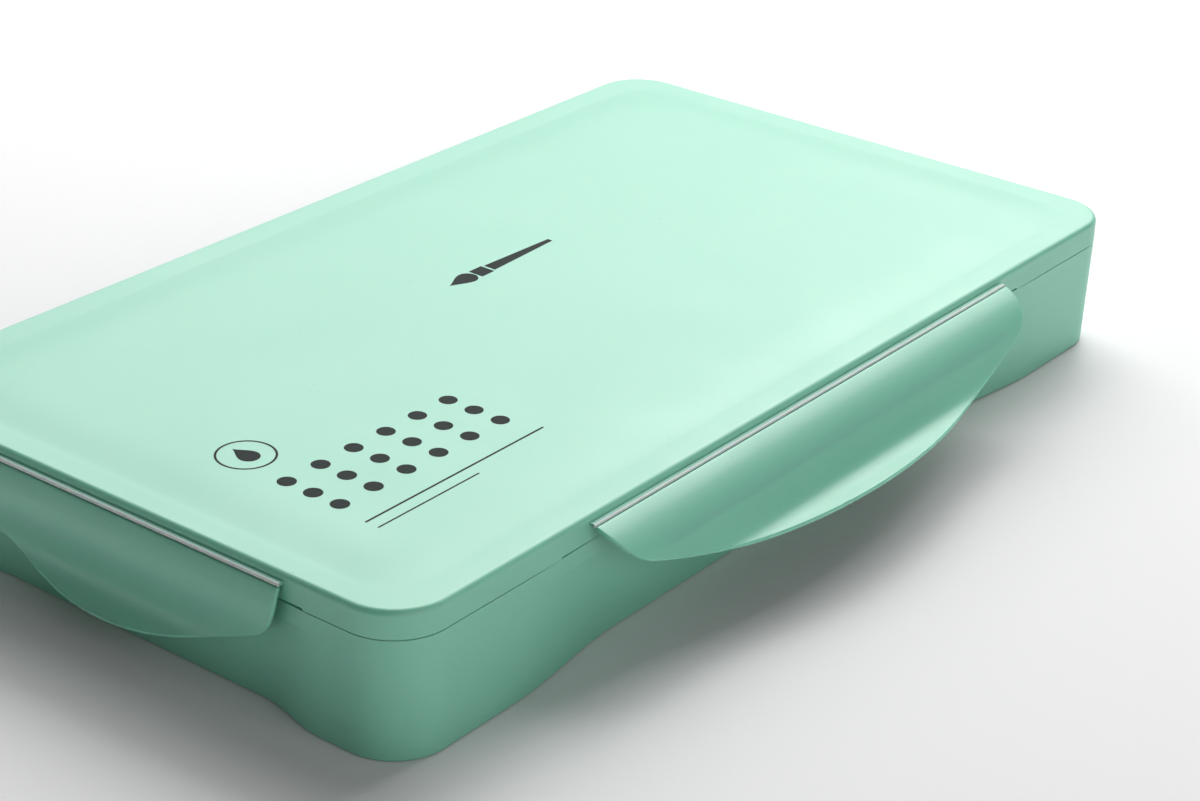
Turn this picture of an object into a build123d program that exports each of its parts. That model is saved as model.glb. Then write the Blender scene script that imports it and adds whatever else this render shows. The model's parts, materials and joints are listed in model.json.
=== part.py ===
from build123d import *
import math
import os

# Paint case: a rectangular plastic tray that holds jelly cups of gouache, closed by a
# lift-off lid whose four flaps hang on living hinges and snap under a ledge of the tray.
# Millimetres. X runs along the long side, Y along the depth, Z is up.
# The origin is the middle of the tray's underside; the front flap faces -Y.

# ---- case ----
length = 285.0
depth = 161.5
corner_radius = 13.5
tray_height = 28.7        # underside to the step where the lid's skirt comes down
lid_height = 6.7          # from that step to the flat border of the lid
floor_thickness = 2.0
side_wall = 1.5           # wall of the scooped sides
corner_wall = 2.4         # wall of the straight corners, thick enough for the lap
foot_draft = 0.5          # how far the straight corners lean in at the underside

# ---- lap joint between the tray and the lid ----
lap_rim_height = 3.0
skirt_thickness = 1.15
lap_clearance = 0.1
parting_gap = 0.2
lid_plate = 1.8
seal_width = 1.45
seal_clearance = 0.05
seal_rib_thickness = 1.1
seal_rib_depth = 3.5

# ---- scoop and ledge under each flap ----
ledge_height = 4.2
ledge_inset = 0.9         # the ledge's face lies this far behind the corners
catch_step = 0.7          # how far the wall steps back below the ledge
catch_draft = 0.2         # height over which it does
scoop_depth = 4.2         # inset of the wall at the underside
long_blend = (-15.3, 22.7)    # where the scoop fades, measured from the flap's end
short_blend = (-10.6, 8.4)

# ---- lid top ----
rim_edge_radius = 1.0
groove_inset = 6.8
groove_width = 1.4
groove_depth = 0.25
panel_inset = 9.2
panel_slope = 5.8
panel_rise = 0.8
panel_corner = 8.5
relief_height = 0.5       # skirt cut short beside each flap
long_relief = 9.0
short_relief = 5.0

# ---- flaps and living hinges ----
long_flap = 166.6
short_flap = 99.2
flap_reach = 24.75        # hinge axis down to the tip of the lip
flap_thickness = 1.1
flap_shoulder = 10.0      # where the lip's long arc meets the flap's ends
long_flap_corner = 13.5   # and the round between them
short_flap_corner = 11.0
hinge_standoff = 1.1      # hinge axis in front of the lid's side
hinge_drop = 2.1          # hinge axis below the flat border
hinge_radius = 0.5
web_thickness = 0.45
hinge_clearance = 0.07
flap_root_reach = 0.45    # outside of the flap's root from the hinge axis
flap_root_drop = 0.4
front_open_angle = 45.0   # the front flap stands open, the others are closed

# ---- snap hook on the inside of a flap ----
hook_nose_gap = 0.12      # nose in front of the ledge until the flap is pressed home
hook_top_gap = 0.35
hook_lip = 0.4
hook_root = 2.2
hook_margin = 14.0

# ---- cups, paint and film ----
columns = 6
rows = 3
cup_gap = 0.4
cup_margin = 3.3          # between the outer cups and the inside of the tray
cup_drop = 1.7            # cups' flanges below the top of the lap rim
cup_wall = 0.9
cup_base = 1.0
cup_taper = 4.0
flange_width = 2.5
flange_thickness = 1.0
flange_corner = 8.0
paint_headroom = 3.8
paint_clearance = 0.05
film_thickness = 0.2
cell_rib_height = 4.0
cell_rib_thickness = 1.2

# ---- heights that follow ----
ledge_z = tray_height - ledge_height
lap_rim_z = tray_height + lap_rim_height
rim_top_z = tray_height + lid_height
skirt_z = tray_height + parting_gap
lid_inside_z = rim_top_z - lid_plate
hinge_z = rim_top_z - hinge_drop
seal_rib_inset = skirt_thickness + seal_width + 2 * seal_clearance
column_pitch = (length - 2 * (corner_wall + cup_margin)) / columns
row_pitch = (depth - 2 * (corner_wall + cup_margin)) / rows

# how far the flap's outside stands in front of the case's side, for each drop below the
# hinge: it arches over the ledge, dips in below it and flares out to a finger lip
flap_wave = [(1.6, 2.13), (4.4, 2.98), (8.0, 3.3), (11.5, 2.83), (14.5, 1.93),
             (17.2, 1.27), (19.4, 1.3), (21.6, 2.36)]
lip_standoff = 5.35
wave_steps = [step / 12 for step in range(13)]    # stations where the thickness is set off

os.makedirs("parts", exist_ok=True)


def save(part, name):
    part.label = name
    export_step(part, f"parts/{name}.step")


def case_outline(z, inset, scoop=0.0):
    """Plan of the case at height z: a rounded rectangle whose four sides are drawn in
    by `scoop` behind the flaps, with a smooth S at both ends of each scoop."""
    half_x = length / 2 - inset
    half_y = depth / 2 - inset
    radius = corner_radius - inset
    x_in, x_out = (long_flap / 2 + shift for shift in long_blend)
    y_in, y_out = (short_flap / 2 + shift for shift in short_blend)
    with BuildSketch(Plane.XY.offset(z)) as outline:
        with BuildLine():
            Line((0, -half_y + scoop), (x_in, -half_y + scoop))
            Spline((x_in, -half_y + scoop), (x_out, -half_y), tangents=[(1, 0), (1, 0)])
            Line((x_out, -half_y), (half_x - radius, -half_y))
            CenterArc((half_x - radius, -half_y + radius), radius, -90, 90)
            Line((half_x, -half_y + radius), (half_x, -y_out))
            Spline((half_x, -y_out), (half_x - scoop, -y_in), tangents=[(0, 1), (0, 1)])
            Line((half_x - scoop, -y_in), (half_x - scoop, 0))
            mirror(about=Plane.XZ)
            mirror(about=Plane.YZ)
        make_face()
    return outline.sketch


def border(z, outer_inset, inner_inset):
    """A closed band of the case's plan, between two insets."""
    with BuildSketch(Plane.XY.offset(z)) as band:
        RectangleRounded(length - 2 * outer_inset, depth - 2 * outer_inset,
                         corner_radius - outer_inset)
        RectangleRounded(length - 2 * inner_inset, depth - 2 * inner_inset,
                         corner_radius - inner_inset, mode=Mode.SUBTRACT)
    return band.sketch


# ---- tray: scooped tub, plain band with the ledge, and the lap rim ----
lap_inset = skirt_thickness + lap_clearance
inner_scoop = scoop_depth - foot_draft + side_wall - corner_wall
with BuildPart() as base_tray:
    loft([case_outline(0, foot_draft, scoop_depth - foot_draft),
          case_outline(ledge_z - catch_draft, 0, ledge_inset + catch_step),
          case_outline(ledge_z, 0, ledge_inset)], ruled=True)
    extrude(case_outline(ledge_z, 0, ledge_inset), amount=ledge_height)
    extrude(border(tray_height, lap_inset, corner_wall), amount=lap_rim_height)
    loft([case_outline(floor_thickness, corner_wall + foot_draft, inner_scoop),
          case_outline(tray_height, corner_wall)], ruled=True, mode=Mode.SUBTRACT)
    # low ribs on the floor that keep the cups in their places
    with BuildSketch(Plane.XY.offset(floor_thickness)):
        with GridLocations(column_pitch, 0, columns - 1, 1):
            Rectangle(cell_rib_thickness, rows * row_pitch)
        with GridLocations(0, row_pitch, 1, rows - 1):
            Rectangle(columns * column_pitch, cell_rib_thickness)
    extrude(amount=cell_rib_height)
save(base_tray.part, "base_tray")

# ---- lid: plate with a soft raised panel, short skirt and a rib for the seal ----
with BuildPart() as lid_shell:
    extrude(border(skirt_z, 0, skirt_thickness), amount=lid_inside_z - skirt_z)
    with BuildSketch(Plane.XY.offset(lid_inside_z)):
        RectangleRounded(length, depth, corner_radius)
    extrude(amount=lid_plate)
    fillet(lid_shell.edges().group_by(Axis.Z)[-1], rim_edge_radius)
    extrude(border(rim_top_z - groove_depth, groove_inset, groove_inset + groove_width),
            amount=groove_depth, mode=Mode.SUBTRACT)
    for height, inset in ((0, panel_inset), (panel_rise, panel_inset + panel_slope)):
        with BuildSketch(Plane.XY.offset(rim_top_z + height)):
            RectangleRounded(length - 2 * inset, depth - 2 * inset, panel_corner)
    loft(ruled=True)
    extrude(border(lid_inside_z - seal_rib_depth, seal_rib_inset,
                   seal_rib_inset + seal_rib_thickness), amount=seal_rib_depth)
    # the skirt is a little shorter beside and behind each flap
    with BuildSketch(Plane.XY.offset(skirt_z)):
        with GridLocations(0, depth - skirt_thickness, 1, 2):
            Rectangle(long_flap + 2 * long_relief, skirt_thickness)
        with GridLocations(length - skirt_thickness, 0, 2, 1):
            Rectangle(skirt_thickness, short_flap + 2 * short_relief)
    extrude(amount=relief_height, mode=Mode.SUBTRACT)
save(lid_shell.part, "lid_shell")

# ---- soft seal between the lap rim and the lid's plate ----
seal_inset = skirt_thickness + seal_clearance
with BuildPart() as lid_gasket:
    extrude(border(lap_rim_z, seal_inset, seal_inset + seal_width),
            amount=lid_inside_z - lap_rim_z)
save(lid_gasket.part, "lid_gasket")


# ---- flaps and hinge webs, drawn in section at the middle of each hinge ----
def hinge_plane(outward, half_case, open_angle=0):
    """Section plane of a hinge: local X points out of the case and local Y up, both
    turned by the angle that the flap stands open."""
    up = Vector(0, 0, 1)
    swing = math.radians(open_angle)
    return Plane(origin=outward * (half_case + hinge_standoff) + up * hinge_z,
                 x_dir=outward * math.cos(swing) + up * math.sin(swing),
                 z_dir=outward.cross(up))


def hinge_web(section, flap_length, name):
    """The thin web of a living hinge, ending in the round bead the flap turns on."""
    with BuildPart() as web:
        with BuildSketch(section):
            Circle(hinge_radius)
            with Locations((-hinge_standoff / 2, 0)):
                Rectangle(hinge_standoff, web_thickness)
        extrude(amount=flap_length / 2, both=True)
    save(web.part, name)


def latch_flap(section, flap_length, corner, name):
    """A wavy flap cut to a long rounded tongue, with its snap hook and hinge seat."""
    front_view = Plane(origin=section.origin, x_dir=section.z_dir, z_dir=section.x_dir)
    wave = [(stand - hinge_standoff, -drop) for drop, stand in flap_wave]
    tip = (lip_standoff - hinge_standoff, -flap_reach)
    hook_top = -(hinge_z - ledge_z) - hook_top_gap
    nose = -ledge_inset + hook_nose_gap - hinge_standoff
    hook_seat = flap_wave[2][1] - hinge_standoff - flap_thickness / 2
    half = flap_length / 2
    with BuildPart() as flap:
        with BuildSketch(section):
            with BuildLine():
                outside = Spline((flap_root_reach, -flap_root_drop), *wave, tip)
                inside = Spline(*[outside @ t + (outside % t).rotate(Axis.Z, -90)
                                  * flap_thickness for t in wave_steps])
                Line(outside @ 0, inside @ 0)
                middle = (outside @ 1 + inside @ 1) / 2
                ThreePointArc(outside @ 1, middle + outside % 1 * flap_thickness / 2,
                              inside @ 1)
            make_face()
            Circle(hinge_radius + hinge_clearance, mode=Mode.SUBTRACT)
        extrude(amount=half, both=True)
        with BuildSketch(section):
            with BuildLine():
                Polyline((hook_seat, hook_top), (nose, hook_top), (nose, hook_top - hook_lip),
                         (hook_seat, hook_top - hook_root), close=True)
            make_face()
        extrude(amount=half - hook_margin, both=True)
        with BuildSketch(front_view.offset(-flap_reach)):
            with BuildLine():
                Polyline((-half, flap_shoulder), (-half, 0), (half, 0), (half, flap_shoulder))
                ThreePointArc((half, flap_shoulder), (0, flap_reach), (-half, flap_shoulder))
            make_face()
            fillet(vertices().sort_by(Axis.Y)[-2:], corner)
        extrude(amount=2 * flap_reach, mode=Mode.INTERSECT)
    save(flap.part, name)


flap_sides = {
    "front": (Vector(0, -1, 0), depth / 2, long_flap, long_flap_corner, front_open_angle),
    "back": (Vector(0, 1, 0), depth / 2, long_flap, long_flap_corner, 0),
    "left": (Vector(-1, 0, 0), length / 2, short_flap, short_flap_corner, 0),
    "right": (Vector(1, 0, 0), length / 2, short_flap, short_flap_corner, 0),
}
for side, (outward, half_case, flap_length, corner, open_angle) in flap_sides.items():
    hinge_web(hinge_plane(outward, half_case), flap_length, f"{side}_hinge_web")
    latch_flap(hinge_plane(outward, half_case, open_angle), flap_length, corner,
               f"{side}_flap")


# ---- jelly cups, their paint and the peel-off films ----
cup_x = column_pitch - cup_gap
cup_y = row_pitch - cup_gap
cup_top_z = lap_rim_z - cup_drop
cup_height = cup_top_z - floor_thickness
taper_run = math.tan(math.radians(cup_taper))
paint_depth = cup_height - cup_base - paint_headroom
inside_inset = flange_width + cup_wall
inside_corner = flange_corner - inside_inset


def cup_plan(centre, z, inset, corner):
    """Rounded plan at height z, drawn in from the cup's flange by `inset`."""
    with BuildSketch(Plane(origin=(centre.X, centre.Y, z))) as plan:
        RectangleRounded(cup_x - 2 * inset, cup_y - 2 * inset, corner)
    return plan.sketch


def narrowing_block(centre, top_z, inset, corner, height, mode=Mode.ADD):
    """A block that narrows downwards by the cup's taper, with the same corners all the way."""
    loft([cup_plan(centre, top_z - height, inset + height * taper_run, corner),
          cup_plan(centre, top_z, inset, corner)], ruled=True, mode=mode)


def jelly_cup(centre, name):
    """A tapered cup that hangs together by its flange: outside, flange and hollow."""
    with BuildPart() as cup:
        narrowing_block(centre, cup_top_z, flange_width, flange_corner - flange_width,
                        cup_height)
        extrude(cup_plan(centre, cup_top_z, 0, flange_corner), amount=-flange_thickness)
        narrowing_block(centre, cup_top_z, inside_inset, inside_corner,
                        cup_height - cup_base, mode=Mode.SUBTRACT)
    save(cup.part, name)


def paint_block(centre, name):
    """Thick paint that fills the cup to just below its rim."""
    surface_inset = inside_inset + paint_headroom * taper_run + paint_clearance
    with BuildPart() as paint:
        narrowing_block(centre, cup_top_z - paint_headroom, surface_inset,
                        inside_corner - paint_clearance, paint_depth)
    save(paint.part, name)


cup_grid = GridLocations(column_pitch, row_pitch, columns, rows)
for number, place in enumerate(cup_grid, start=1):
    jelly_cup(place.position, f"cup_{number:02d}")
    paint_block(place.position, f"paint_{number:02d}")

with BuildPart() as peel_films:
    with BuildSketch(Plane.XY.offset(cup_top_z)):
        with GridLocations(column_pitch, row_pitch, columns, rows):
            RectangleRounded(cup_x - cup_gap, cup_y - cup_gap, flange_corner)
    extrude(amount=film_thickness)
save(peel_films.part, "peel_films")
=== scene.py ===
import json
import math

import bmesh
import bpy
from mathutils import Matrix, Vector, noise


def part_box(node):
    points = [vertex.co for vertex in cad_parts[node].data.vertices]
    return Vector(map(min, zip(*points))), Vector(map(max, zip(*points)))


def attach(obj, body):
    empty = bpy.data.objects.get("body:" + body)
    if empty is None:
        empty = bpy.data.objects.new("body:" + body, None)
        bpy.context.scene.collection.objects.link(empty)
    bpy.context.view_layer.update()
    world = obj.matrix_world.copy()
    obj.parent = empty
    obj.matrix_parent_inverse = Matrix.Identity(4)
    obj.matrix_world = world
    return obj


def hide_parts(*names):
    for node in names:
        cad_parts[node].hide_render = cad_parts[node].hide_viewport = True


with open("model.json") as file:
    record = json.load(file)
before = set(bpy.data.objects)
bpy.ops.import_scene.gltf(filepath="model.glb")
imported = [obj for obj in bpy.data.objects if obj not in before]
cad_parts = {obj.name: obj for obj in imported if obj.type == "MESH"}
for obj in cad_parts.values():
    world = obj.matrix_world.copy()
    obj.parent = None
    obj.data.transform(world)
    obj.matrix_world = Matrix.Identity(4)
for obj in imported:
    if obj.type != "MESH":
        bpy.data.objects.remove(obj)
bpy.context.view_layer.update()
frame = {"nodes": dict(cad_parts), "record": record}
mm = 0.001

# %% [markdown]
# ## The sizes that everything follows
# A moulding is easiest to keep true when its sizes are read from the frame: the plan of
# the case from the lid's box, and each height from the piece that ends there. The few
# sizes that a box can't tell, such as wall thicknesses and radii, are named here once.
# %% Read the sizes
lid_low, lid_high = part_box("lid_shell")
tray_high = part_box("base_tray")[1]
seal_low, seal_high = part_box("lid_gasket")
plan = Vector((lid_high.x - lid_low.x, lid_high.y - lid_low.y))
corner_radius = 13.5 * mm
corner_steps = 20
panel_rise = 0.8 * mm
rim_top = lid_high.z - panel_rise
skirt_bottom = lid_low.z
lid_ceiling = seal_high.z
lap_rim_top = tray_high.z
tray_top = seal_low.z - 3.0 * mm
print("plan", plan, "rim", rim_top, "skirt", skirt_bottom, "tray", tray_top)

# %% [markdown]
# ## Working in edit mode from a script
# Modelling by hand is: pick some faces or edges, then extrude, scale, bevel or slice them.
# A script can do the same when it picks by place or by direction. These small helpers do
# the picking, and start every moulding as a block with four rounded upright edges.
# %% Picking and starting helpers
touching = 0.02 * mm    # two places nearer than this are one


def edit(piece):
    bpy.ops.object.select_all(action="DESELECT")
    piece.select_set(True)
    bpy.context.view_layer.objects.active = piece
    bpy.ops.object.mode_set(mode="EDIT")


def pick(piece, kind, wanted):
    """Selects the vertices, edges or faces that `wanted` says yes to, and nothing else."""
    bpy.ops.mesh.select_mode(type=kind)
    bpy.ops.mesh.select_all(action="DESELECT")
    shape = bmesh.from_edit_mesh(piece.data)
    shape.normal_update()
    items = {"VERT": shape.verts, "EDGE": shape.edges, "FACE": shape.faces}[kind]
    for item in [item for item in items if wanted(item)]:
        item.select = True
    shape.select_flush_mode()
    bmesh.update_edit_mesh(piece.data)


def at_height(edge, z):
    return all(abs(vert.co.z - z) < touching for vert in edge.verts)


def rounded_block(name, low, high, radius, steps):
    """A block with its upright edges rounded. It is left in edit mode."""
    size = high - low
    bpy.ops.object.select_all(action="DESELECT")
    bpy.ops.mesh.primitive_cube_add(size=1, location=(low + high) / 2, scale=size)
    piece = bpy.context.object
    piece.name = piece.data.name = name
    bpy.ops.object.transform_apply(location=True, rotation=True, scale=True)
    edit(piece)
    pick(piece, "EDGE", lambda edge: abs(edge.verts[0].co.z - edge.verts[1].co.z) > size.z / 2)
    bpy.ops.mesh.bevel(offset=radius, segments=steps, affect="EDGES", clamp_overlap=False)
    return piece


def pick_cap(piece, z, direction):
    """Picks the flat face that closes the piece at height z, looking up (1) or down (-1)."""
    pick(piece, "FACE", lambda face: face.normal.z * direction > 0.99
         and abs(face.calc_center_median().z - z) < touching)


def terrace(outline, old_inset, new_inset, lift=0.0):
    """Extrudes the picked cap by `lift` and draws it in from one inset to the next."""
    bpy.ops.mesh.extrude_region_move(TRANSFORM_OT_translate={"value": (0, 0, lift)})
    factors = [(side - 2 * new_inset) / (side - 2 * old_inset) for side in outline]
    bpy.ops.transform.resize(value=(*factors, 1), center_override=(0, 0, 0))


def slice_at(axis, places):
    """Cuts the whole mesh at each place along an axis, for detail to start or end there."""
    for place in places:
        point, normal = Vector(), Vector()
        point[axis], normal[axis] = place, 1
        bpy.ops.mesh.select_all(action="SELECT")
        bpy.ops.mesh.bisect(plane_co=point, plane_no=normal)


def finish_shape(piece, angle=35):
    """Leaves edit mode with soft shading over the curves and crisp flat faces."""
    bpy.ops.object.mode_set(mode="OBJECT")
    bpy.ops.object.select_all(action="DESELECT")
    piece.select_set(True)
    bpy.context.view_layer.objects.active = piece
    bpy.ops.object.shade_smooth_by_angle(angle=math.radians(angle))
    weighted = piece.modifiers.new("weighted", "WEIGHTED_NORMAL")
    weighted.keep_sharp = True
    bpy.ops.object.modifier_apply(modifier=weighted.name)
    print(piece.name, len(piece.data.polygons), "faces")


# %% [markdown]
# ## The lid
# The lid is one moulding: a flat border, a soft valley, a shallow raised panel, and a
# short skirt. Terraces of the top face give the border, valley and slope, each a scaled
# copy of the last, so the corners stay round. The hollow is made the same way from below.
# Beside and behind each flap the skirt is a little shorter, which needs two slices.
# %% Model the lid
half_plan = plan / 2
skirt_wall = 1.15 * mm
rim_radius = 1.4 * mm
lid = rounded_block("mint_lid", Vector((*-half_plan, skirt_bottom)),
                    Vector((*half_plan, rim_top)), corner_radius, corner_steps)
pick(lid, "EDGE", lambda edge: at_height(edge, rim_top))
bpy.ops.mesh.bevel(offset=rim_radius, segments=6, affect="EDGES", clamp_overlap=False)
pick_cap(lid, rim_top, 1)
# inset from the lid's edge and height over the flat border, in millimetres
top_profile = [(5.6, 0.0), (6.6, -0.04), (7.6, -0.08), (8.6, -0.05), (10.2, 0.07), (12.4, 0.26),
               (14.8, 0.46), (17.2, 0.62), (19.6, 0.72), (22.0, 0.76), (24.0, 0.76)]
inset, rise = rim_radius, 0.0
for next_inset, next_rise in top_profile:
    terrace(plan, inset, next_inset * mm, (next_rise - rise) * mm)
    inset, rise = next_inset * mm, next_rise

seal_rib = (2.7 * mm, 3.8 * mm, 3.5 * mm)    # outer inset, inner inset, depth
pick_cap(lid, skirt_bottom, -1)
terrace(plan, 0, skirt_wall)
terrace(plan, skirt_wall, skirt_wall, lid_ceiling - skirt_bottom)
terrace(plan, skirt_wall, seal_rib[0])
terrace(plan, seal_rib[0], seal_rib[0], -seal_rib[2])
terrace(plan, seal_rib[0], seal_rib[1])
terrace(plan, seal_rib[1], seal_rib[1], seal_rib[2])

# %% [markdown]
# ### The short stretches of the skirt
# Slices either side of each flap mark where the skirt steps up, and the faces of the
# skirt's lower edge between them are raised.
# %% Shorten the skirt at the flaps
relief = 0.5 * mm
relief_ramp = 0.25 * mm
long_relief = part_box("front_flap")[1].x + 9.0 * mm
short_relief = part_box("left_flap")[1].y + 5.0 * mm
for axis, reach in ((0, long_relief), (1, short_relief)):
    slice_at(axis, (-reach - relief_ramp, -reach, reach, reach + relief_ramp))


def in_relief(vert):
    beside = [half_plan[axis] - abs(vert.co[axis]) < 2 * skirt_wall for axis in (0, 1)]
    low = abs(vert.co.z - skirt_bottom) < touching
    return low and ((beside[1] and abs(vert.co.x) < long_relief + 0.1 * relief_ramp)
                    or (beside[0] and abs(vert.co.y) < short_relief + 0.1 * relief_ramp))


pick(lid, "VERT", in_relief)
bpy.ops.transform.translate(value=(0, 0, relief))
finish_shape(lid)
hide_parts("lid_shell")
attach(lid, "lid")

# %% [markdown]
# ## The tray
# The tray starts as the same rounded block. Terraces make the lap rim and the hollow, and
# slices give the walls enough columns to bend. Each side is then drawn in behind its flap:
# the weight of a vertex group says how far, and a Displace modifier moves it there. That
# keeps the S at both ends of a scoop smooth, and the wall inside follows the wall outside.
# %% Model the tray
floor_thickness = 2.0 * mm
corner_wall = 2.4 * mm
lap_inset = 1.25 * mm
foot_draft = 0.5 * mm
ledge_height = 4.2 * mm
ledge_slope = 0.2 * mm
ledge_z = tray_top - ledge_height
tray = rounded_block("mint_tray", Vector((*-half_plan, 0)), Vector((*half_plan, tray_top)),
                     corner_radius, corner_steps)
pick_cap(tray, 0, -1)
bpy.ops.transform.resize(value=[(side - 2 * foot_draft) / side for side in plan] + [1],
                         center_override=(0, 0, 0))
pick_cap(tray, tray_top, 1)
terrace(plan, 0, lap_inset)
terrace(plan, lap_inset, lap_inset, lap_rim_top - tray_top)
terrace(plan, lap_inset, corner_wall)
terrace(plan, corner_wall, corner_wall + foot_draft, floor_thickness - lap_rim_top)

long_fade = (68.0 * mm, 106.0 * mm)
short_fade = (39.0 * mm, 58.0 * mm)
fade_slices = 12
for axis, (start, end) in ((0, long_fade), (1, short_fade)):
    cuts = [start + (end - start) * step / fade_slices for step in range(fade_slices + 1)]
    slice_at(axis, [side * cut for side in (-1, 1) for cut in cuts])
slice_at(2, (ledge_z - ledge_slope, ledge_z))
bpy.ops.object.mode_set(mode="OBJECT")

# %% [markdown]
# ### How far each point of the wall is drawn in
# Outside, the scoop is deepest at the foot and ends at the ledge, and the plain band above
# it keeps a small step. Inside, the wall is drawn in so that its thickness stays even.
# %% Scoop the sides
foot_scoop = 3.7 * mm
ledge_step = 1.6 * mm
band_step = 0.9 * mm
inner_scoop = 2.8 * mm
skin = 0.9 * mm          # points less deep than this lie on the outside
margin = 0.1 * mm
wall_reach = 4 * mm      # points less deep than this belong to a side wall


def drawn_in(vert, axis):
    """How far a wall vertex moves in along `axis`, before the fade along the other one."""
    depth_in = half_plan[axis] - abs(vert.co[axis])
    z = vert.co.z
    if z > tray_top + margin or depth_in > corner_wall + 2 * foot_draft:
        return 0.0
    if depth_in > skin:
        inner_share = (tray_top - z) / (tray_top - floor_thickness)
        return inner_scoop * inner_share if z < tray_top - margin else 0.0
    if z > ledge_z - margin:
        return band_step
    return ledge_step + (foot_scoop - ledge_step) * (1 - z / (ledge_z - ledge_slope))


def fade(distance, start, end):
    """1 up to `start`, 0 past `end`, and a smooth S between them."""
    share = min(max((distance - start) / (end - start), 0.0), 1.0)
    return 1 - share * share * (3 - 2 * share)


bpy.context.view_layer.objects.active = tray
for name, axis, sign, reach in (("front", 1, -1, long_fade), ("back", 1, 1, long_fade),
                                ("left", 0, -1, short_fade), ("right", 0, 1, short_fade)):
    group = tray.vertex_groups.new(name=f"{name}_scoop")
    for vert in tray.data.vertices:
        if vert.co[axis] * sign > half_plan[axis] - wall_reach:
            amount = drawn_in(vert, axis) * fade(abs(vert.co[1 - axis]), *reach)
            group.add([vert.index], amount / foot_scoop, "REPLACE")
    push = tray.modifiers.new(group.name, "DISPLACE")
    push.direction = "XY"[axis]
    push.mid_level = 0
    push.strength = -sign * foot_scoop
    push.vertex_group = group.name
    bpy.ops.object.modifier_apply(modifier=push.name)

# %% [markdown]
# ### Rounded foot and rim
# A moulding has no knife edges. The outer edge of the foot gets a clear round, the edges
# of the band and of the lap rim a small one, so that each catches a thin line of light.
# %% Round the tray's edges
def sharp_at(edge, z, least=50):
    return (at_height(edge, z) and len(edge.link_faces) == 2
            and edge.calc_face_angle() > math.radians(least))


edit(tray)
for height, radius, steps in ((0, 0.7 * mm, 4), (tray_top, 0.2 * mm, 2),
                              (lap_rim_top, 0.25 * mm, 2)):
    pick(tray, "EDGE", lambda edge: sharp_at(edge, height))
    bpy.ops.mesh.bevel(offset=radius, segments=steps, affect="EDGES", clamp_overlap=False)
finish_shape(tray)
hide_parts("base_tray")
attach(tray, "base")

# %% [markdown]
# ## The flaps
# A flap is a thin sheet with the same wavy section from end to end: it arches over the
# ledge, dips in below it and flares out to a finger lip. Its outline is a shallow arc with
# rounded ends. The sheet is drawn out row by row from the hinge, each row moved along the
# wave and scaled to the outline's width. Every row is straight, so the shading stays as
# clean as on the moulding. Solidify gives the wall and Bevel softens the rim.
# %% Section and outline of a flap
hinge_standoff = 1.1 * mm
hinge_z = rim_top - 2.1 * mm
flap_wall = 1.1 * mm
flap_reach = 24.75 * mm
flap_shoulder = 10.0 * mm
root_drop = 0.4 * mm
tip_half_width = 0.8 * mm
row_spacing = 1.0 * mm
round_rows, arc_rows = 20, 32
# drop below the hinge and distance in front of the case's side, in millimetres
flap_wave = [(0.4, 1.55), (1.6, 2.13), (4.4, 2.98), (8.0, 3.3), (11.5, 2.83), (14.5, 1.93),
             (17.2, 1.27), (19.4, 1.3), (21.6, 2.36), (24.75, 5.35)]


def wave_at(drop):
    """Distance in front of the case's side, on a smooth curve through the wave's points."""
    drop = drop / mm
    last = len(flap_wave) - 2
    left = max(i for i in range(last + 1) if flap_wave[i][0] <= max(drop, flap_wave[0][0]))

    def slope(i):
        (x0, y0), (x1, y1) = flap_wave[max(i - 1, 0)], flap_wave[min(i + 1, last + 1)]
        return (y1 - y0) / (x1 - x0)

    (x0, y0), (x1, y1) = flap_wave[left], flap_wave[left + 1]
    span = x1 - x0
    t = (drop - x0) / span
    h = (2 * t**3 - 3 * t**2 + 1, t**3 - 2 * t**2 + t, 3 * t**2 - 2 * t**3, t**3 - t**2)
    return (h[0] * y0 + h[1] * span * slope(left) + h[2] * y1 + h[3] * span * slope(left + 1)) * mm


def outline_rows(half, corner):
    """Half width and drop of each row: down the end, round the corner, along the arc."""
    rise = flap_reach - flap_shoulder
    arc_radius = (half**2 + rise**2) / (2 * rise)
    arc_centre = flap_reach - arc_radius
    round_x = half - corner
    round_drop = arc_centre + math.sqrt((arc_radius - corner) ** 2 - round_x**2)
    turn = math.atan2(round_drop - arc_centre, round_x)
    rows = [(half, root_drop)]
    if round_drop > 2 * root_drop:
        steps = math.ceil(round_drop / row_spacing)
        rows += [(half, root_drop + (round_drop - root_drop) * i / steps)
                 for i in range(1, steps)]
    for i in range(1, round_rows + 1):
        angle = turn * i / round_rows
        rows.append((round_x + corner * math.cos(angle), round_drop + corner * math.sin(angle)))
    for i in range(1, arc_rows + 1):
        angle = turn + (math.pi / 2 - turn) * i / arc_rows
        rows.append((max(arc_radius * math.cos(angle), tip_half_width),
                     arc_centre + arc_radius * math.sin(angle)))
    return [row for row in rows if row[1] >= root_drop]


# %% [markdown]
# ### One flap, four times
# The flap is modelled at the front with its hinge on the X axis, together with the snap
# hook that runs along its inside, and then turned to its side of the case. The front flap
# stands open, the others are closed.
# %% Model the flaps and their living hinges
flap_edge_round = 0.38 * mm
moulded_edge = math.radians(50)    # edges sharper than this are rounded
bead_radius = 0.42 * mm
web_thickness, web_lift = 0.7 * mm, 0.05 * mm
# seat and nose stand out from the hinge's axis, less than 0 being towards the case; top is
# the height from the axis, root and lip are thicknesses, margin keeps clear of the ends
hook = {"margin": 14 * mm, "seat": 1.65 * mm, "nose": -1.88 * mm, "top": -9.15 * mm,
        "root": 2.2 * mm, "lip": 0.4 * mm}


def modifier_applied(piece, kind, **settings):
    bpy.ops.object.select_all(action="DESELECT")
    piece.select_set(True)
    bpy.context.view_layer.objects.active = piece
    modifier = piece.modifiers.new(kind.lower(), kind)
    for name, value in settings.items():
        setattr(modifier, name, value)
    bpy.ops.object.modifier_apply(modifier=modifier.name)


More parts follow.
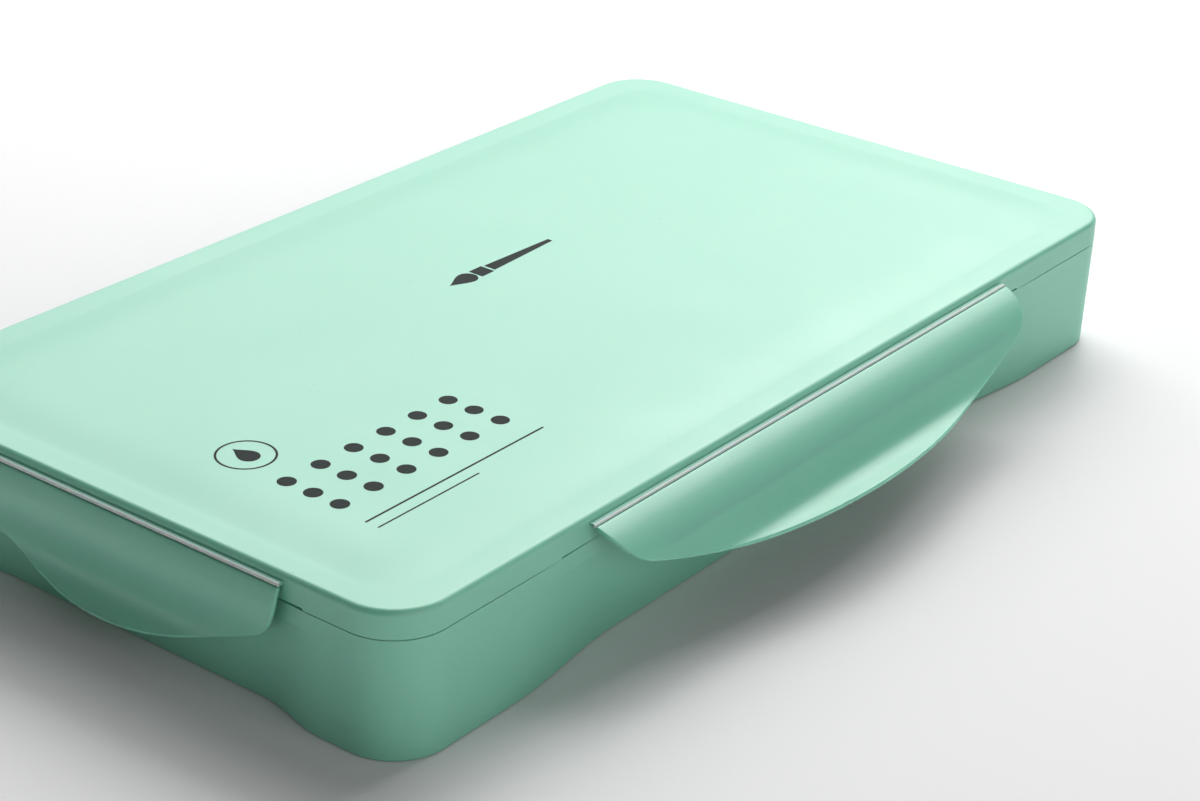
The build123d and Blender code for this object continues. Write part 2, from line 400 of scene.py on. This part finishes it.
def joined(piece, *others):
    bpy.ops.object.select_all(action="DESELECT")
    for other in others:
        other.select_set(True)
    piece.select_set(True)
    bpy.context.view_layer.objects.active = piece
    bpy.ops.object.join()
    return piece


def flap_sheet(name, half, corner):
    """The wavy tongue, drawn out from its hinge line one row at a time."""
    places = [(width, -(wave_at(drop) - hinge_standoff), -drop)
              for width, drop in outline_rows(half, corner)]
    bpy.ops.object.select_all(action="DESELECT")
    bpy.ops.mesh.primitive_plane_add(size=1)
    sheet = bpy.context.object
    sheet.name = sheet.data.name = name
    for vert in sheet.data.vertices:
        width, y, z = places[0] if vert.co.y > 0 else places[1]
        vert.co = (math.copysign(width, vert.co.x), y, z)
    edit(sheet)
    pick(sheet, "EDGE", lambda edge: at_height(edge, places[1][2]))
    for (width, y, z), (next_width, next_y, next_z) in zip(places[1:], places[2:]):
        bpy.ops.mesh.extrude_region_move(
            TRANSFORM_OT_translate={"value": (0, next_y - y, next_z - z)})
        bpy.ops.transform.resize(value=(next_width / width, 1, 1), center_override=(0, 0, 0))
    bpy.ops.mesh.select_all(action="SELECT")
    bpy.ops.mesh.normals_make_consistent(inside=False)
    bpy.ops.object.mode_set(mode="OBJECT")
    if sheet.data.polygons[0].normal.y > 0:
        sheet.data.flip_normals()
    return sheet


def snap_hook(half):
    """A long wedge under the flap's belly: flat on top, with a blunt nose."""
    low = Vector((hook["margin"] - half, -hook["seat"], hook["top"] - hook["root"]))
    high = Vector((half - hook["margin"], -hook["nose"], hook["top"]))
    bpy.ops.object.select_all(action="DESELECT")
    bpy.ops.mesh.primitive_cube_add(size=1, location=(low + high) / 2, scale=high - low)
    wedge = bpy.context.object
    bpy.ops.object.transform_apply(location=True, rotation=True, scale=True)
    edit(wedge)
    pick(wedge, "EDGE", lambda edge: at_height(edge, low.z)
         and all(vert.co.y > 0 for vert in edge.verts))
    bpy.ops.transform.translate(value=(0, 0, hook["root"] - hook["lip"]))
    bpy.ops.object.mode_set(mode="OBJECT")
    return wedge


def living_hinge(name, half):
    """The thin web and the rounded crease along the flap's root."""
    bpy.ops.object.select_all(action="DESELECT")
    bpy.ops.mesh.primitive_cylinder_add(vertices=24, radius=bead_radius, depth=2 * half,
                                        rotation=(0, math.radians(90), 0))
    bead = bpy.context.object
    bead.name = bead.data.name = name
    bpy.ops.object.transform_apply(location=True, rotation=True, scale=True)
    bpy.ops.mesh.primitive_cube_add(size=1, location=(0, hinge_standoff / 2, web_lift),
                                    scale=(2 * half, hinge_standoff, web_thickness))
    strip = bpy.context.object
    bpy.ops.object.transform_apply(location=True, rotation=True, scale=True)
    return joined(bead, strip)


front_open = 45.0
long_corner, short_corner = 13.5 * mm, 11.0 * mm
flap_sides = {"front": (0, plan.y / 2, long_corner, front_open),
              "right": (90, plan.x / 2, short_corner, 0),
              "back": (180, plan.y / 2, long_corner, 0),
              "left": (-90, plan.x / 2, short_corner, 0)}
case_pieces, hinge_pieces = [lid, tray], []
for side, (heading, half_case, corner, open_angle) in flap_sides.items():
    flap_low, flap_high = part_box(f"{side}_flap")
    half = max(flap_high.x - flap_low.x, flap_high.y - flap_low.y) / 2
    place = (Matrix.Rotation(math.radians(heading), 4, "Z")
             @ Matrix.Translation((0, -half_case - hinge_standoff, hinge_z)))
    flap = flap_sheet(f"mint_{side}_flap", half, corner)
    modifier_applied(flap, "SOLIDIFY", thickness=flap_wall, offset=-1, use_even_offset=True)
    modifier_applied(flap, "BEVEL", width=flap_edge_round, segments=3, limit_method="ANGLE",
                     angle_limit=moulded_edge, use_clamp_overlap=False)
    flap = joined(flap, snap_hook(half))
    finish_shape(flap, 40)
    flap.data.transform(place @ Matrix.Rotation(math.radians(-open_angle), 4, "X"))
    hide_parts(f"{side}_flap")
    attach(flap, f"{side}_latch")
    case_pieces.append(flap)
    crease = living_hinge(f"{side}_crease", half)
    finish_shape(crease)
    crease.data.transform(place)
    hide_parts(f"{side}_hinge_web")
    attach(crease, "lid")
    hinge_pieces.append(crease)

# %% [markdown]
# ## The seal
# A soft ring sits on the tray's lap rim and closes it against the lid. It is a rounded
# block with its middle taken out: the two caps are drawn in, deleted, and the open edges
# bridged.
# %% Model the seal
seal_wall = 1.45 * mm
seal_inset = 1.2 * mm
seal_plan = plan - Vector((2 * seal_inset,) * 2)
seal = rounded_block("silicone_seal", Vector((*-seal_plan / 2, seal_low.z)),
                     Vector((*seal_plan / 2, seal_high.z)), corner_radius - seal_inset, 16)
for z, direction in ((seal_low.z, -1), (seal_high.z, 1)):
    pick_cap(seal, z, direction)
    terrace(seal_plan, 0, seal_wall)
    bpy.ops.mesh.delete(type="FACE")
pick(seal, "EDGE", lambda edge: edge.is_boundary)
bpy.ops.mesh.bridge_edge_loops()
finish_shape(seal)
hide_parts("lid_gasket")
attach(seal, "lid")

# %% [markdown]
# ## Cups, paint and films
# Inside stand the jelly cups: tapered, with a flange that carries the film. One cup, one
# block of paint and one film are modelled at the origin and copied to each place of the
# frame. The paint's top is made of rings so that it can swell and dimple like paste that
# was poured; the film is drawn flat by its sealed edge and puckers a little between.
# %% Model one cup, one paint and one film
cup_low, cup_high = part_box("cup_01")
cup_plan = Vector(cup_high - cup_low).xy
cup_depth = cup_high.z - cup_low.z
flange, cup_wall, cup_base = 2.5 * mm, 0.9 * mm, 1.0 * mm
flange_thickness = 1.0 * mm
flange_radius = 8.0 * mm
cup_edge_round = 0.25 * mm
small_corner_steps = 7
taper = math.tan(math.radians(4))


def cup_body():
    """The cup, with its flange's top at height 0."""
    low = Vector((*-cup_plan / 2, -flange_thickness))
    cup = rounded_block("jelly_cup", low, Vector((*cup_plan / 2, 0)), flange_radius,
                        small_corner_steps)
    pick_cap(cup, -flange_thickness, -1)
    terrace(cup_plan, 0, flange)
    deep = cup_depth - flange_thickness
    terrace(cup_plan, flange, flange + deep * taper, -deep)
    pick_cap(cup, 0, 1)
    terrace(cup_plan, 0, flange + cup_wall)
    inside = cup_depth - cup_base
    terrace(cup_plan, flange + cup_wall, flange + cup_wall + inside * taper, -inside)
    bpy.ops.object.mode_set(mode="OBJECT")
    modifier_applied(cup, "BEVEL", width=cup_edge_round, segments=2, limit_method="ANGLE",
                     angle_limit=moulded_edge, use_clamp_overlap=False)
    return cup


paint_low, paint_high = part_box("paint_01")
paint_plan = Vector(paint_high - paint_low).xy
paint_depth = paint_high.z - paint_low.z
paint_corner = 4.3 * mm
paint_rings = 9


def paint_body():
    """A block of paste with its top at height 0, ringed so that it can be shaped."""
    low = Vector((*-paint_plan / 2, -paint_depth))
    paint = rounded_block("paint", low, Vector((*paint_plan / 2, 0)), paint_corner,
                          small_corner_steps)
    pick_cap(paint, -paint_depth, -1)
    shrink = [(side - 2 * paint_depth * taper) / side for side in paint_plan]
    bpy.ops.transform.resize(value=(*shrink, 1), center_override=(0, 0, 0))
    pick_cap(paint, 0, 1)
    reach = paint_plan.x / 2
    insets = [0.9 * reach * step / paint_rings for step in range(paint_rings + 1)]
    for old, new in zip(insets, insets[1:]):
        terrace(paint_plan, old, new)
    bpy.ops.object.mode_set(mode="OBJECT")
    return paint


film_low, film_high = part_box("peel_films")
film_thickness = film_high.z - film_low.z
film_gap = 0.4 * mm
film_rings = 8


def film_sheet():
    """A clear film with its underside at height 0, ringed so that it can pucker."""
    size = cup_plan - Vector((film_gap,) * 2)
    film = rounded_block("film", Vector((*-size / 2, 0)), Vector((*size / 2, film_thickness)),
                         flange_radius, small_corner_steps)
    reach = 0.85 * size.x / 2
    for z, direction in ((film_thickness, 1), (0, -1)):
        pick_cap(film, z, direction)
        insets = [reach * step / film_rings for step in range(film_rings + 1)]
        for old, new in zip(insets, insets[1:]):
            terrace(size, old, new)
    bpy.ops.object.mode_set(mode="OBJECT")
    return film


cup_model, paint_model, film_model = cup_body(), paint_body(), film_sheet()

# %% [markdown]
# ### Fill the tray
# Every copy gets its own mesh, moved to its cup. Smooth noise read at each point lifts the
# middle of the paint and the film and leaves their edges where they are.
# %% Place the cups, the paint and the films
def copy_to(model, name, place):
    copy = model.copy()
    copy.data = model.data.copy()
    copy.name = copy.data.name = name
    bpy.context.collection.objects.link(copy)
    copy.data.transform(Matrix.Translation(place))
    return copy


def ruffle(piece, centre, size, height, grain, upper):
    """Lifts the points of a sheet by smooth noise, fading to nothing at its edge."""
    for vert in piece.data.vertices:
        if vert.co.z < upper:
            continue
        away = max(abs(vert.co.x - centre.x) / size.x, abs(vert.co.y - centre.y) / size.y) * 2
        vert.co.z += height * noise.noise(vert.co * grain) * max(0.0, 1 - away**4)


paint_swell, paint_grain = 0.9 * mm, 160
film_pucker, film_grain = 0.5 * mm, 260
sealed_edge = 6 * mm
cups, paints, films = [], [], []
cup_names = sorted(name for name in frame["nodes"] if name.startswith("cup_"))
for number, cup_name in enumerate(cup_names, start=1):
    low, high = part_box(cup_name)
    centre = Vector(((low.x + high.x) / 2, (low.y + high.y) / 2, high.z))
    cup = copy_to(cup_model, f"jelly_{cup_name}", centre)
    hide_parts(cup_name)
    paint_node = cup_name.replace("cup", "paint")
    paint_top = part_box(paint_node)[1].z
    paint = copy_to(paint_model, f"gouache_{number:02d}", Vector((*centre.xy, paint_top)))
    ruffle(paint, centre, paint_plan, paint_swell, paint_grain, paint_top - margin)
    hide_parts(paint_node)
    film = copy_to(film_model, f"film_{number:02d}", Vector((*centre.xy, film_low.z)))
    ruffle(film, centre, cup_plan - Vector((sealed_edge,) * 2), film_pucker, film_grain, 0)
    for piece in (cup, paint, film):
        finish_shape(piece)
        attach(piece, "base")
    cups.append(cup)
    paints.append(paint)
    films.append(film)
for model in (cup_model, paint_model, film_model):
    bpy.data.objects.remove(model)
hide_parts("peel_films")

# %% [markdown]
# ## Writing shader maths as plain expressions
# A finish is mostly small sums on noise: a little darker here, a little rougher there.
# Wrapping a socket in a class lets those sums be written as sums, and one method makes
# every other node from its type, its settings and its inputs.
# %% A small language for finishes
class Wire:
    """An output socket that can be used in sums."""

    def __init__(self, tree, socket):
        self.tree, self.socket = tree, socket

    def maths(self, operation, first, second):
        node = self.tree.nodes.new("ShaderNodeMath")
        node.operation = operation
        for slot, value in zip(node.inputs, (first, second)):
            if isinstance(value, Wire):
                self.tree.links.new(value.socket, slot)
            else:
                slot.default_value = value
        return Wire(self.tree, node.outputs[0])

    def __add__(self, other):
        return self.maths("ADD", self, other)

    def __mul__(self, other):
        return self.maths("MULTIPLY", self, other)

    def __gt__(self, other):
        return self.maths("GREATER_THAN", self, other)

    def __lt__(self, other):
        return self.maths("LESS_THAN", self, other)

    __radd__, __rmul__ = __add__, __mul__


class Finish:
    """A material with a Principled shader, and the nodes that feed it."""

    def __init__(self, name, **plain):
        self.material = bpy.data.materials.new(name)
        self.material.use_nodes = True
        self.tree = self.material.node_tree
        self.shader = self.tree.nodes["Principled BSDF"]
        for socket, value in plain.items():
            self.shader.inputs[socket.replace("_", " ").title()].default_value = value
        self.place = self.node("TexCoord", outlet="Object")

    def node(self, kind, settings=None, outlet=0, **inputs):
        made = self.tree.nodes.new("ShaderNode" + kind)
        for name, value in (settings or {}).items():
            setattr(made, name, value)
        for name, value in inputs.items():
            label = name.replace("_", " ")
            socket = next(s for s in made.inputs if s.name == label and s.enabled)
            self.set(socket, value)
        return Wire(self.tree, made.outputs[outlet])

    def set(self, socket, value):
        if isinstance(value, Wire):
            self.tree.links.new(value.socket, socket)
        else:
            socket.default_value = value

    def feed(self, socket, value):
        self.set(self.shader.inputs[socket], value)

    def noise(self, scale, detail=2.0, roughness=0.5):
        return self.node("TexNoise", outlet="Fac", Vector=self.place, Scale=scale,
                         Detail=detail, Roughness=roughness)

    def blend(self, share, first, second):
        return self.node("Mix", {"data_type": "RGBA"}, outlet="Result", Factor=share,
                         A=(*first, 1) if isinstance(first, tuple) else first,
                         B=(*second, 1) if isinstance(second, tuple) else second)

    def bump(self, height, strength, distance):
        return self.node("Bump", Height=height, Strength=strength, Distance=distance)

    def dress(self, *pieces):
        for piece in pieces:
            piece.data.materials.clear()
            piece.data.materials.append(self.material)


# %% [markdown]
# ## Matt mint polypropylene
# The case is moulded in a pale mint plastic with a fine spark-eroded grain. Light enters a
# little way, so it scatters below the surface. The colour drifts by a few percent, the
# sheen is uneven, and here and there sits a tiny speck or scuff.
# %% Mint plastic
mint = Finish("mint_polypropylene", subsurface_weight=0.35, subsurface_scale=1.5 * mm)
mint.shader.inputs["Subsurface Radius"].default_value = (0.3, 1.0, 0.65)
mint.shader.inputs["IOR"].default_value = 1.55
mint.shader.inputs["Specular IOR Level"].default_value = 1.0
drift = mint.noise(22, 3)
flecks = mint.node("TexVoronoi", outlet="Distance", Vector=mint.place, Scale=190.0)
rare = mint.noise(70, 0) > 0.66
speck = (flecks < 0.06) * rare
mint_colour = mint.blend(drift, (0.225, 0.65, 0.47), (0.25, 0.68, 0.50))
mint.feed("Base Color", mint.blend(speck * 0.35, mint_colour, (0.15, 0.38, 0.30)))
mint.feed("Roughness", 0.40 + mint.noise(45, 4) * 0.12)
grain = mint.noise(3200, 2)
swell = mint.noise(38, 1)
mint.feed("Normal", mint.bump(grain * 0.03 + swell * 0.6, 0.35, 0.5 * mm))
mint.dress(*case_pieces)

# %% [markdown]
# Where the plastic is thinned to a living hinge and has been bent, it turns whitish. Only
# the rounded crease does; the web between it and the lid keeps the mint. Part of the
# crease's paler colour is a painted highlight along its top.
# %% Whitened hinge plastic, with a painted highlight
whitened_highlit_crease = Finish("stretched_hinge_painted_highlight", subsurface_weight=0.3, subsurface_scale=1.0 * mm)
# The paler crease colour is partly stretched plastic and partly a painted highlight along the
# crease's top.
stress_and_highlight = whitened_highlit_crease.noise(900, 3)
whitened_highlit_crease.feed("Base Color", whitened_highlit_crease.blend(stress_and_highlight, (0.66, 0.76, 0.72),
                                                   (0.80, 0.86, 0.84)))
whitened_highlit_crease.feed("Roughness", 0.42 + stress_and_highlight * 0.2)
whitened_highlit_crease.dress(*hinge_pieces)
# The white faces carry both the whitening and the painted highlight.
white_from = hinge_standoff - 0.43 * mm    # faces standing out further turn white
for piece in hinge_pieces:
    piece.data.materials.append(mint.material)
    for face in piece.data.polygons:
        standing_out = max(abs(face.center.x) - plan.x / 2, abs(face.center.y) - plan.y / 2)
        face.material_index = int(standing_out < white_from)

# %% [markdown]
# The seal is cloudy silicone; the cups are thin white plastic that lets some light in.
# %% Silicone and cup plastic
silicone = Finish("silicone", subsurface_weight=0.5, subsurface_scale=1.5 * mm)
cloud = silicone.noise(120, 2)
silicone.feed("Base Color", silicone.blend(cloud, (0.78, 0.82, 0.80), (0.86, 0.88, 0.87)))
silicone.feed("Roughness", 0.30 + cloud * 0.15)
silicone.dress(seal)

cup_plastic = Finish("cup_plastic", subsurface_weight=0.4, subsurface_scale=1.5 * mm)
haze = cup_plastic.noise(90, 2)
cup_plastic.feed("Base Color", cup_plastic.blend(haze, (0.84, 0.86, 0.85), (0.92, 0.93, 0.92)))
cup_plastic.feed("Roughness", 0.22 + haze * 0.12)
cup_plastic.dress(*cups)

# %% [markdown]
# ## Gouache and film
# Gouache in its cup is a thick wet paste: strong even colour, a soft gloss, and faint
# swirls where it was filled. The colours come from the record's slots. The film over it is
# clear, thin and glossy.
# %% Paint and film
record_colours = {entry["slot"]: entry["base_color"] for entry in frame["record"]["materials"]}
node_slots = {entry["node"]: entry["material_slot"] for entry in frame["record"]["subparts"]}
for number, paint in enumerate(paints, start=1):
    slot_name = node_slots[f"paint_{number:02d}"]
    colour = tuple(record_colours[slot_name][:3])
    paste = Finish(slot_name)
    swirl = paste.noise(130, 4, 0.6)
    deep = tuple(0.82 * channel for channel in colour)
    paste.feed("Base Color", paste.blend(swirl, deep, colour))
    paste.feed("Roughness", 0.30 + swirl * 0.25)
    paste.feed("Normal", paste.bump(swirl, 0.4, 0.4 * mm))
    paste.dress(paint)

clear = Finish("clear_film")
crinkle = clear.noise(420, 3)
clear.feed("Base Color", clear.blend(crinkle, (0.90, 0.93, 0.94), (0.97, 0.98, 0.98)))
clear.feed("Roughness", 0.12 + crinkle * 0.12)
clear.feed("Alpha", 0.05 + crinkle * 0.08)
clear.feed("Normal", clear.bump(crinkle, 0.5, 0.2 * mm))
clear.dress(*films)

# %% [markdown]
# ## The print on the lid
# Cases like this carry a small screen print that says what is inside. Here it is a plain
# one: a brush, a drop in a ring, a dot for each of the cups, and two rules. Screen ink is
# a film of its own with a crisp edge, so every mark is a thin plate on the lid.
# %% Marks for the print
ink_bottom, ink_film = rim_top + 0.755 * mm, 0.035 * mm
marks = []


def keep_mark(turn=0.0):
    """Set the active plate down on the lid and add it to the print."""
    mark = bpy.context.object
    mark.data.transform(Matrix.Rotation(turn, 4, "Z"))
    bpy.ops.object.transform_apply(location=True, rotation=True, scale=True)
    marks.append(mark)


def bar(centre, size, taper=1.0):
    """A straight plate; `taper` narrows its right-hand end."""
    bpy.ops.object.select_all(action="DESELECT")
    bpy.ops.mesh.primitive_cube_add(size=1)
    for vert in bpy.context.object.data.vertices:
        share = taper if vert.co.x > 0 else 1
        vert.co = (vert.co.x * size[0], vert.co.y * size[1] * share, vert.co.z * ink_film)
    bpy.context.object.location = (*centre, ink_bottom + ink_film / 2)
    keep_mark()


def disc(centre, radius, stretch=0.0, turn=0.0):
    """A round plate; `stretch` draws one side out to a point, as on a drop."""
    bpy.ops.object.select_all(action="DESELECT")
    bpy.ops.mesh.primitive_cylinder_add(vertices=36, radius=radius, depth=ink_film)
    for vert in bpy.context.object.data.vertices:
        if vert.co.x > 0 and stretch:
            along = vert.co.x / radius
            vert.co.x += stretch * along**2
            vert.co.y *= 1 - along**3
    bpy.context.object.location = (*centre, ink_bottom + ink_film / 2)
    keep_mark(turn)


def ring(centre, radius, line):
    """A thin circle: a torus pressed flat to the thickness of the ink."""
    bpy.ops.object.select_all(action="DESELECT")
    bpy.ops.mesh.primitive_torus_add(major_segments=64, minor_segments=4,
                                     major_radius=radius, minor_radius=line / 2)
    for vert in bpy.context.object.data.vertices:
        vert.co.z *= ink_film / line
    bpy.context.object.location = (*centre, ink_bottom + ink_film / 2)
    keep_mark()


# %% Lay out the print
ring_centre = Vector((-111.5, -9.0)) * mm
ring(ring_centre, 6.6 * mm, 0.55 * mm)
disc(ring_centre - Vector((0, 0.9 * mm)), 2.5 * mm, 2.6 * mm, math.radians(90))
for column in range(6):
    for row in range(3):
        disc(Vector((-114.6 + 10.4 * column, -24.0 - 7.6 * row)) * mm, 2.15 * mm)
bar(Vector((-88.0, -48.5)) * mm, (58 * mm, 0.5 * mm))
bar(Vector((-101.0, -52.0)) * mm, (32 * mm, 0.4 * mm))
bar(Vector((12.6, 17.0)) * mm, (24 * mm, 3.6 * mm), 0.4)
bar(Vector((-2.4, 17.0)) * mm, (4.6 * mm, 4.4 * mm))
disc(Vector((-7.8, 17.0)) * mm, 2.7 * mm, 4.2 * mm, math.radians(180))
lid_print = joined(*marks)
lid_print.name = lid_print.data.name = "lid_print"
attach(lid_print, "lid")

ink = Finish("screen_ink")
ink.shader.inputs["Specular IOR Level"].default_value = 0.05
wear = ink.noise(600, 3)
ink.feed("Base Color", ink.blend(wear, (0.012, 0.018, 0.017), (0.035, 0.05, 0.045)))
ink.feed("Roughness", 0.42 + wear * 0.2)
ink.dress(lid_print)
print("print:", len(marks), "marks")

# %% [markdown]
# ## Table, light and camera
# The case lies on a white table that runs out of sight. Four soft lamps light it: one high
# and one low behind it, one from the right and a weak one in front. The lid is bright,
# the near sides are in soft shade and the shadow falls towards the viewer. Each lamp's
# light bounces once, which keeps the shadow free of green. A dim white room fills the
# shade. Far from the case the table turns into plain white for the camera alone, so it
# meets the room without a horizon.
# %% Table and room
bpy.ops.object.select_all(action="DESELECT")
bpy.ops.mesh.primitive_plane_add(size=30, location=(0, 0, 0))
table = bpy.context.object
table.name = "table"
table_finish = Finish("table_white")
table_finish.shader.inputs["Base Color"].default_value = (1.0, 1.0, 1.0, 1)
table_finish.shader.inputs["Roughness"].default_value = 0.9
table_finish.shader.inputs["Specular IOR Level"].default_value = 0.0
far = table_finish.node("VectorMath", {"operation": "LENGTH"}, outlet="Value",
                        Vector=table_finish.place)
haze_share = table_finish.node("MapRange", {"interpolation_type": "SMOOTHSTEP"},
                               outlet="Result", Value=far, From_Min=0.45, From_Max=1.05)
looked_at = table_finish.node("LightPath", outlet="Is Camera Ray")
white_glow = table_finish.node("Emission", outlet="Emission", Strength=1.0)
horizon = table_finish.tree.nodes.new("ShaderNodeMixShader")
surface_end = table_finish.tree.nodes["Material Output"].inputs["Surface"]
for outlet, inlet in (((haze_share * looked_at).socket, horizon.inputs[0]),
                      (table_finish.shader.outputs[0], horizon.inputs[1]),
                      (white_glow.socket, horizon.inputs[2]),
                      (horizon.outputs[0], surface_end)):
    table_finish.tree.links.new(outlet, inlet)
table_finish.dress(table)

room = bpy.data.worlds.new("room")
bpy.context.scene.world = room
room.use_nodes = True
room_nodes, room_links = room.node_tree.nodes, room.node_tree.links
backdrop = room_nodes["Background"]
ray = room_nodes.new("ShaderNodeLightPath")
level = room_nodes.new("ShaderNodeMapRange")
ambient = 0.10
level.inputs["To Min"].default_value = ambient
level.inputs["To Max"].default_value = 1.0
seen = room_nodes.new("ShaderNodeMath")
seen.operation = "MAXIMUM"
room_links.new(ray.outputs["Is Camera Ray"], seen.inputs[0])
room_links.new(ray.outputs["Is Transmission Ray"], seen.inputs[1])
room_links.new(seen.outputs[0], level.inputs["Value"])
room_links.new(level.outputs["Result"], backdrop.inputs["Strength"])
backdrop.inputs["Color"].default_value = (1, 1, 1, 1)

# %% Soft lights
def softbox(name, towards, distance, width, height, power):
    """A rectangular lamp in the given direction, looking at the case."""
    towards = Vector(towards).normalized()
    bpy.ops.object.light_add(type="AREA", location=towards * distance)
    lamp = bpy.context.object
    lamp.name = name
    lamp.data.shape = "RECTANGLE"
    lamp.data.size, lamp.data.size_y = width, height
    lamp.data.energy = power
    lamp.data.cycles.max_bounces = 1
    lamp.rotation_mode = "QUATERNION"
    lamp.rotation_quaternion = towards.to_track_quat("Z", "Y")


softbox("key_behind", (0.66, 0.64, 1.0), 1.6, 1.2, 1.2, 14.8)
softbox("low_behind", (0.73, 0.68, 0.38), 1.8, 1.8, 0.7, 6.0)
softbox("from_the_right", (1.0, 0.10, 0.95), 1.6, 1.0, 1.0, 13.5)
softbox("in_front", (-0.25, -1.0, 0.42), 1.6, 1.2, 0.6, 4.8)

# %% Camera
camera_place = Vector((-488.96, -389.57, 311.66)) * mm
camera_turn = [math.radians(angle) for angle in (63.908, -1.701, -52.027)]
bpy.ops.object.camera_add(location=camera_place, rotation=camera_turn)
camera = bpy.context.object
camera.data.lens = 83.65
camera.data.sensor_width = 36.0
camera.data.clip_end = 60
bpy.context.scene.camera = camera

# %% [markdown]
# ## Finish
# %% Finish
bpy.context.scene.view_settings.view_transform = "Standard"
